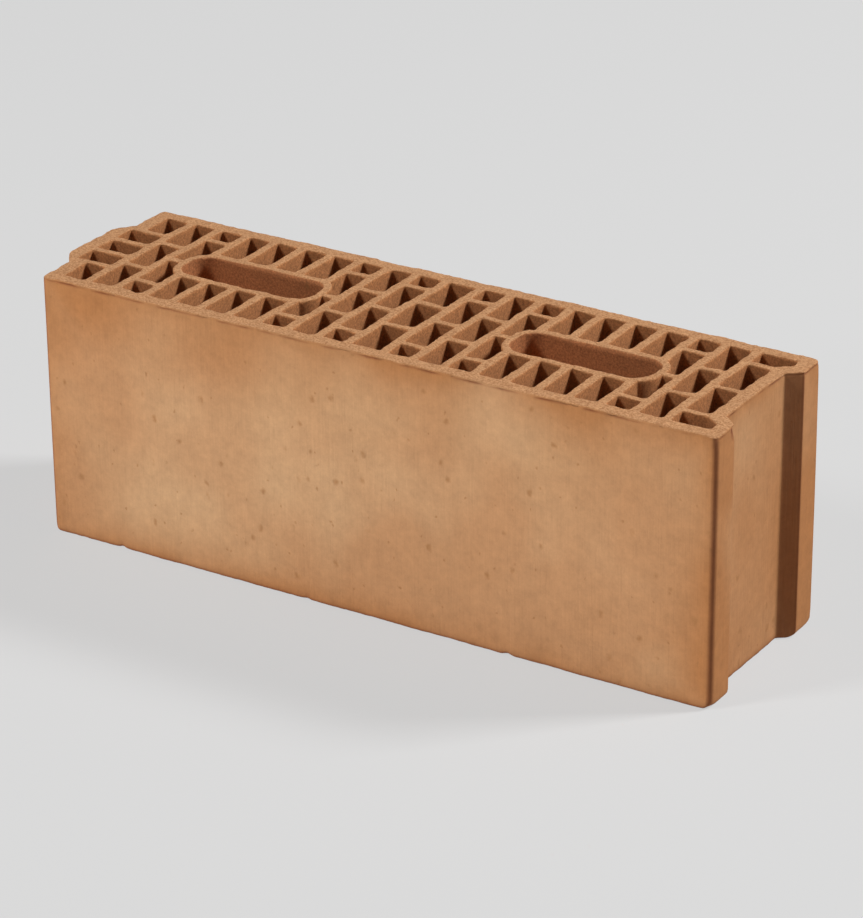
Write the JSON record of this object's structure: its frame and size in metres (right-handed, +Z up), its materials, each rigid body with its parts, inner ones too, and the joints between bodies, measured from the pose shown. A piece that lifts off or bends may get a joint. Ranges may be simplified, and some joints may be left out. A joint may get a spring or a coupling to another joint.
{
  "type": "perforated clay brick",
  "caption": "Fired-clay wall brick with vertical cells in staggered columns, rounded grip slots, and a tongue and a groove on its ends.",
  "frame": {"origin": "middle of the overall box, on the bottom bed face that the brick stands on", "axes": "+X along the length from the tongue to the groove, +Y across the wall's thickness, +Z up along the cells"},
  "size_m": [0.51, 0.138, 0.184],
  "materials": {
    "fired_clay": "unglazed, matt, with fine drag lines from the die"
  },
  "bodies": {
    "root": {"clay_block": "fired_clay"}
  },
  "joints": []
}
